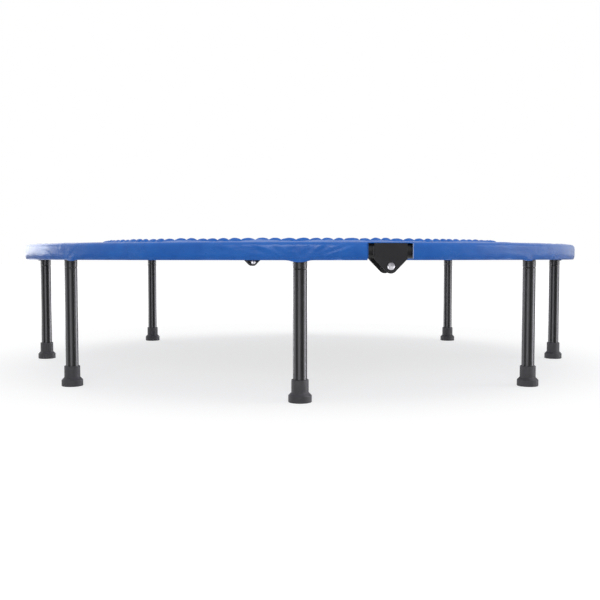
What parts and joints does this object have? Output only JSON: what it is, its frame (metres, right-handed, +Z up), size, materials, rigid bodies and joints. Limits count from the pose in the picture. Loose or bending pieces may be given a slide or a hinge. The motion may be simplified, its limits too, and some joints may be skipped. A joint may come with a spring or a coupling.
{
  "type": "folding mini trampoline",
  "caption": "Round mini trampoline with a tube frame that folds in half on two hinges, screw-in legs with rubber feet, a sprung jumping mat and a padded cover with a gathered inner edge.",
  "frame": {"origin": "centre of the ring, on the floor under the feet", "axes": "+Z up; +X to the right and -Y to the front, with leg 1 at the front; the fold line passes over the origin, turned 14.1 degrees from the Y axis"},
  "size_m": [1.229, 1.229, 0.2726],
  "materials": {
    "powder_coat": "satin",
    "hinge_steel": "satin",
    "bright_chrome": "polished",
    "zinc_steel": "satin",
    "foot_rubber": "matte",
    "seam_rubber": "matte",
    "nylon": "matte",
    "mat_weave": "woven",
    "cover_blue": "satin coated cloth"
  },
  "bodies": {
    "frame_left": {"frame_tube_left": "powder_coat", "leg_socket_6": "powder_coat", "leg_socket_7": "powder_coat", "leg_socket_8": "powder_coat", "leg_socket_1": "powder_coat", "hinge_plate_outer_front": "hinge_steel", "hinge_plate_inner_front": "hinge_steel", "hinge_bolt_front": "bright_chrome", "hinge_nut_front": "bright_chrome", "hinge_lug_back": "hinge_steel", "hinge_bush_back": "nylon", "mat_left": "mat_weave", "spring_band_left": "zinc_steel", "cover_left": "cover_blue"},
    "frame_right": {"frame_tube_right": "powder_coat", "leg_socket_2": "powder_coat", "leg_socket_3": "powder_coat", "leg_socket_4": "powder_coat", "leg_socket_5": "powder_coat", "hinge_plate_outer_back": "hinge_steel", "hinge_plate_inner_back": "hinge_steel", "hinge_bolt_back": "bright_chrome", "hinge_nut_back": "bright_chrome", "hinge_lug_front": "hinge_steel", "hinge_bush_front": "nylon", "mat_right": "mat_weave", "spring_band_right": "zinc_steel", "cover_right": "cover_blue"},
    "washer_1": {"leg_washer_1": "seam_rubber"},
    "washer_2": {"leg_washer_2": "seam_rubber"},
    "washer_3": {"leg_washer_3": "seam_rubber"},
    "washer_4": {"leg_washer_4": "seam_rubber"},
    "washer_5": {"leg_washer_5": "seam_rubber"},
    "washer_6": {"leg_washer_6": "seam_rubber"},
    "washer_7": {"leg_washer_7": "seam_rubber"},
    "washer_8": {"leg_washer_8": "seam_rubber"},
    "leg_1": {"leg_tube_1": "powder_coat", "leg_foot_1": "foot_rubber"},
    "leg_2": {"leg_tube_2": "powder_coat", "leg_foot_2": "foot_rubber"},
    "leg_3": {"leg_tube_3": "powder_coat", "leg_foot_3": "foot_rubber"},
    "leg_4": {"leg_tube_4": "powder_coat", "leg_foot_4": "foot_rubber"},
    "leg_5": {"leg_tube_5": "powder_coat", "leg_foot_5": "foot_rubber"},
    "leg_6": {"leg_tube_6": "powder_coat", "leg_foot_6": "foot_rubber"},
    "leg_7": {"leg_tube_7": "powder_coat", "leg_foot_7": "foot_rubber"},
    "leg_8": {"leg_tube_8": "powder_coat", "leg_foot_8": "foot_rubber"}
  },
  "joints": [
    {"name": "fold", "type": "hinge", "parent": "frame_left", "child": "frame_right", "pos_m": [0, 0, 0.2223], "axis": [-0.2436, 0.9699, 0], "range_deg": [0, 110]},
    {"name": "leg_1_travel", "type": "slide", "parent": "frame_left", "child": "washer_1", "axis": [0, 0, -1], "range_m": [0, 0.0165]},
    {"name": "leg_2_travel", "type": "slide", "parent": "frame_right", "child": "washer_2", "axis": [0, 0, -1], "range_m": [0, 0.0165]},
    {"name": "leg_3_travel", "type": "slide", "parent": "frame_right", "child": "washer_3", "axis": [0, 0, -1], "range_m": [0, 0.0165]},
    {"name": "leg_4_travel", "type": "slide", "parent": "frame_right", "child": "washer_4", "axis": [0, 0, -1], "range_m": [0, 0.0165]},
    {"name": "leg_5_travel", "type": "slide", "parent": "frame_right", "child": "washer_5", "axis": [0, 0, -1], "range_m": [0, 0.0165]},
    {"name": "leg_6_travel", "type": "slide", "parent": "frame_left", "child": "washer_6", "axis": [0, 0, -1], "range_m": [0, 0.0165]},
    {"name": "leg_7_travel", "type": "slide", "parent": "frame_left", "child": "washer_7", "axis": [0, 0, -1], "range_m": [0, 0.0165]},
    {"name": "leg_8_travel", "type": "slide", "parent": "frame_left", "child": "washer_8", "axis": [0, 0, -1], "range_m": [0, 0.0165]},
    {"name": "leg_1_screw", "type": "hinge", "parent": "washer_1", "child": "leg_1", "pos_m": [0, -0.5951, 0.2178], "axis": [0, 0, -1], "range_deg": [0, 3960]},
    {"name": "leg_2_screw", "type": "hinge", "parent": "washer_2", "child": "leg_2", "pos_m": [0.4208, -0.4208, 0.2178], "axis": [0, 0, -1], "range_deg": [0, 3960]},
    {"name": "leg_3_screw", "type": "hinge", "parent": "washer_3", "child": "leg_3", "pos_m": [0.5951, 0, 0.2178], "axis": [0, 0, -1], "range_deg": [0, 3960]},
    {"name": "leg_4_screw", "type": "hinge", "parent": "washer_4", "child": "leg_4", "pos_m": [0.4208, 0.4208, 0.2178], "axis": [0, 0, -1], "range_deg": [0, 3960]},
    {"name": "leg_5_screw", "type": "hinge", "parent": "washer_5", "child": "leg_5", "pos_m": [0, 0.5951, 0.2178], "axis": [0, 0, -1], "range_deg": [0, 3960]},
    {"name": "leg_6_screw", "type": "hinge", "parent": "washer_6", "child": "leg_6", "pos_m": [-0.4208, 0.4208, 0.2178], "axis": [0, 0, -1], "range_deg": [0, 3960]},
    {"name": "leg_7_screw", "type": "hinge", "parent": "washer_7", "child": "leg_7", "pos_m": [-0.5951, 0, 0.2178], "axis": [0, 0, -1], "range_deg": [0, 3960]},
    {"name": "leg_8_screw", "type": "hinge", "parent": "washer_8", "child": "leg_8", "pos_m": [-0.4208, -0.4208, 0.2178], "axis": [0, 0, -1], "range_deg": [0, 3960]}
  ],
  "couplings": [
    {"joint": "leg_1_screw", "follows": "leg_1_travel", "rad_per_m": 4188.8},
    {"joint": "leg_2_screw", "follows": "leg_2_travel", "rad_per_m": 4188.8},
    {"joint": "leg_3_screw", "follows": "leg_3_travel", "rad_per_m": 4188.8},
    {"joint": "leg_4_screw", "follows": "leg_4_travel", "rad_per_m": 4188.8},
    {"joint": "leg_5_screw", "follows": "leg_5_travel", "rad_per_m": 4188.8},
    {"joint": "leg_6_screw", "follows": "leg_6_travel", "rad_per_m": 4188.8},
    {"joint": "leg_7_screw", "follows": "leg_7_travel", "rad_per_m": 4188.8},
    {"joint": "leg_8_screw", "follows": "leg_8_travel", "rad_per_m": 4188.8}
  ]
}
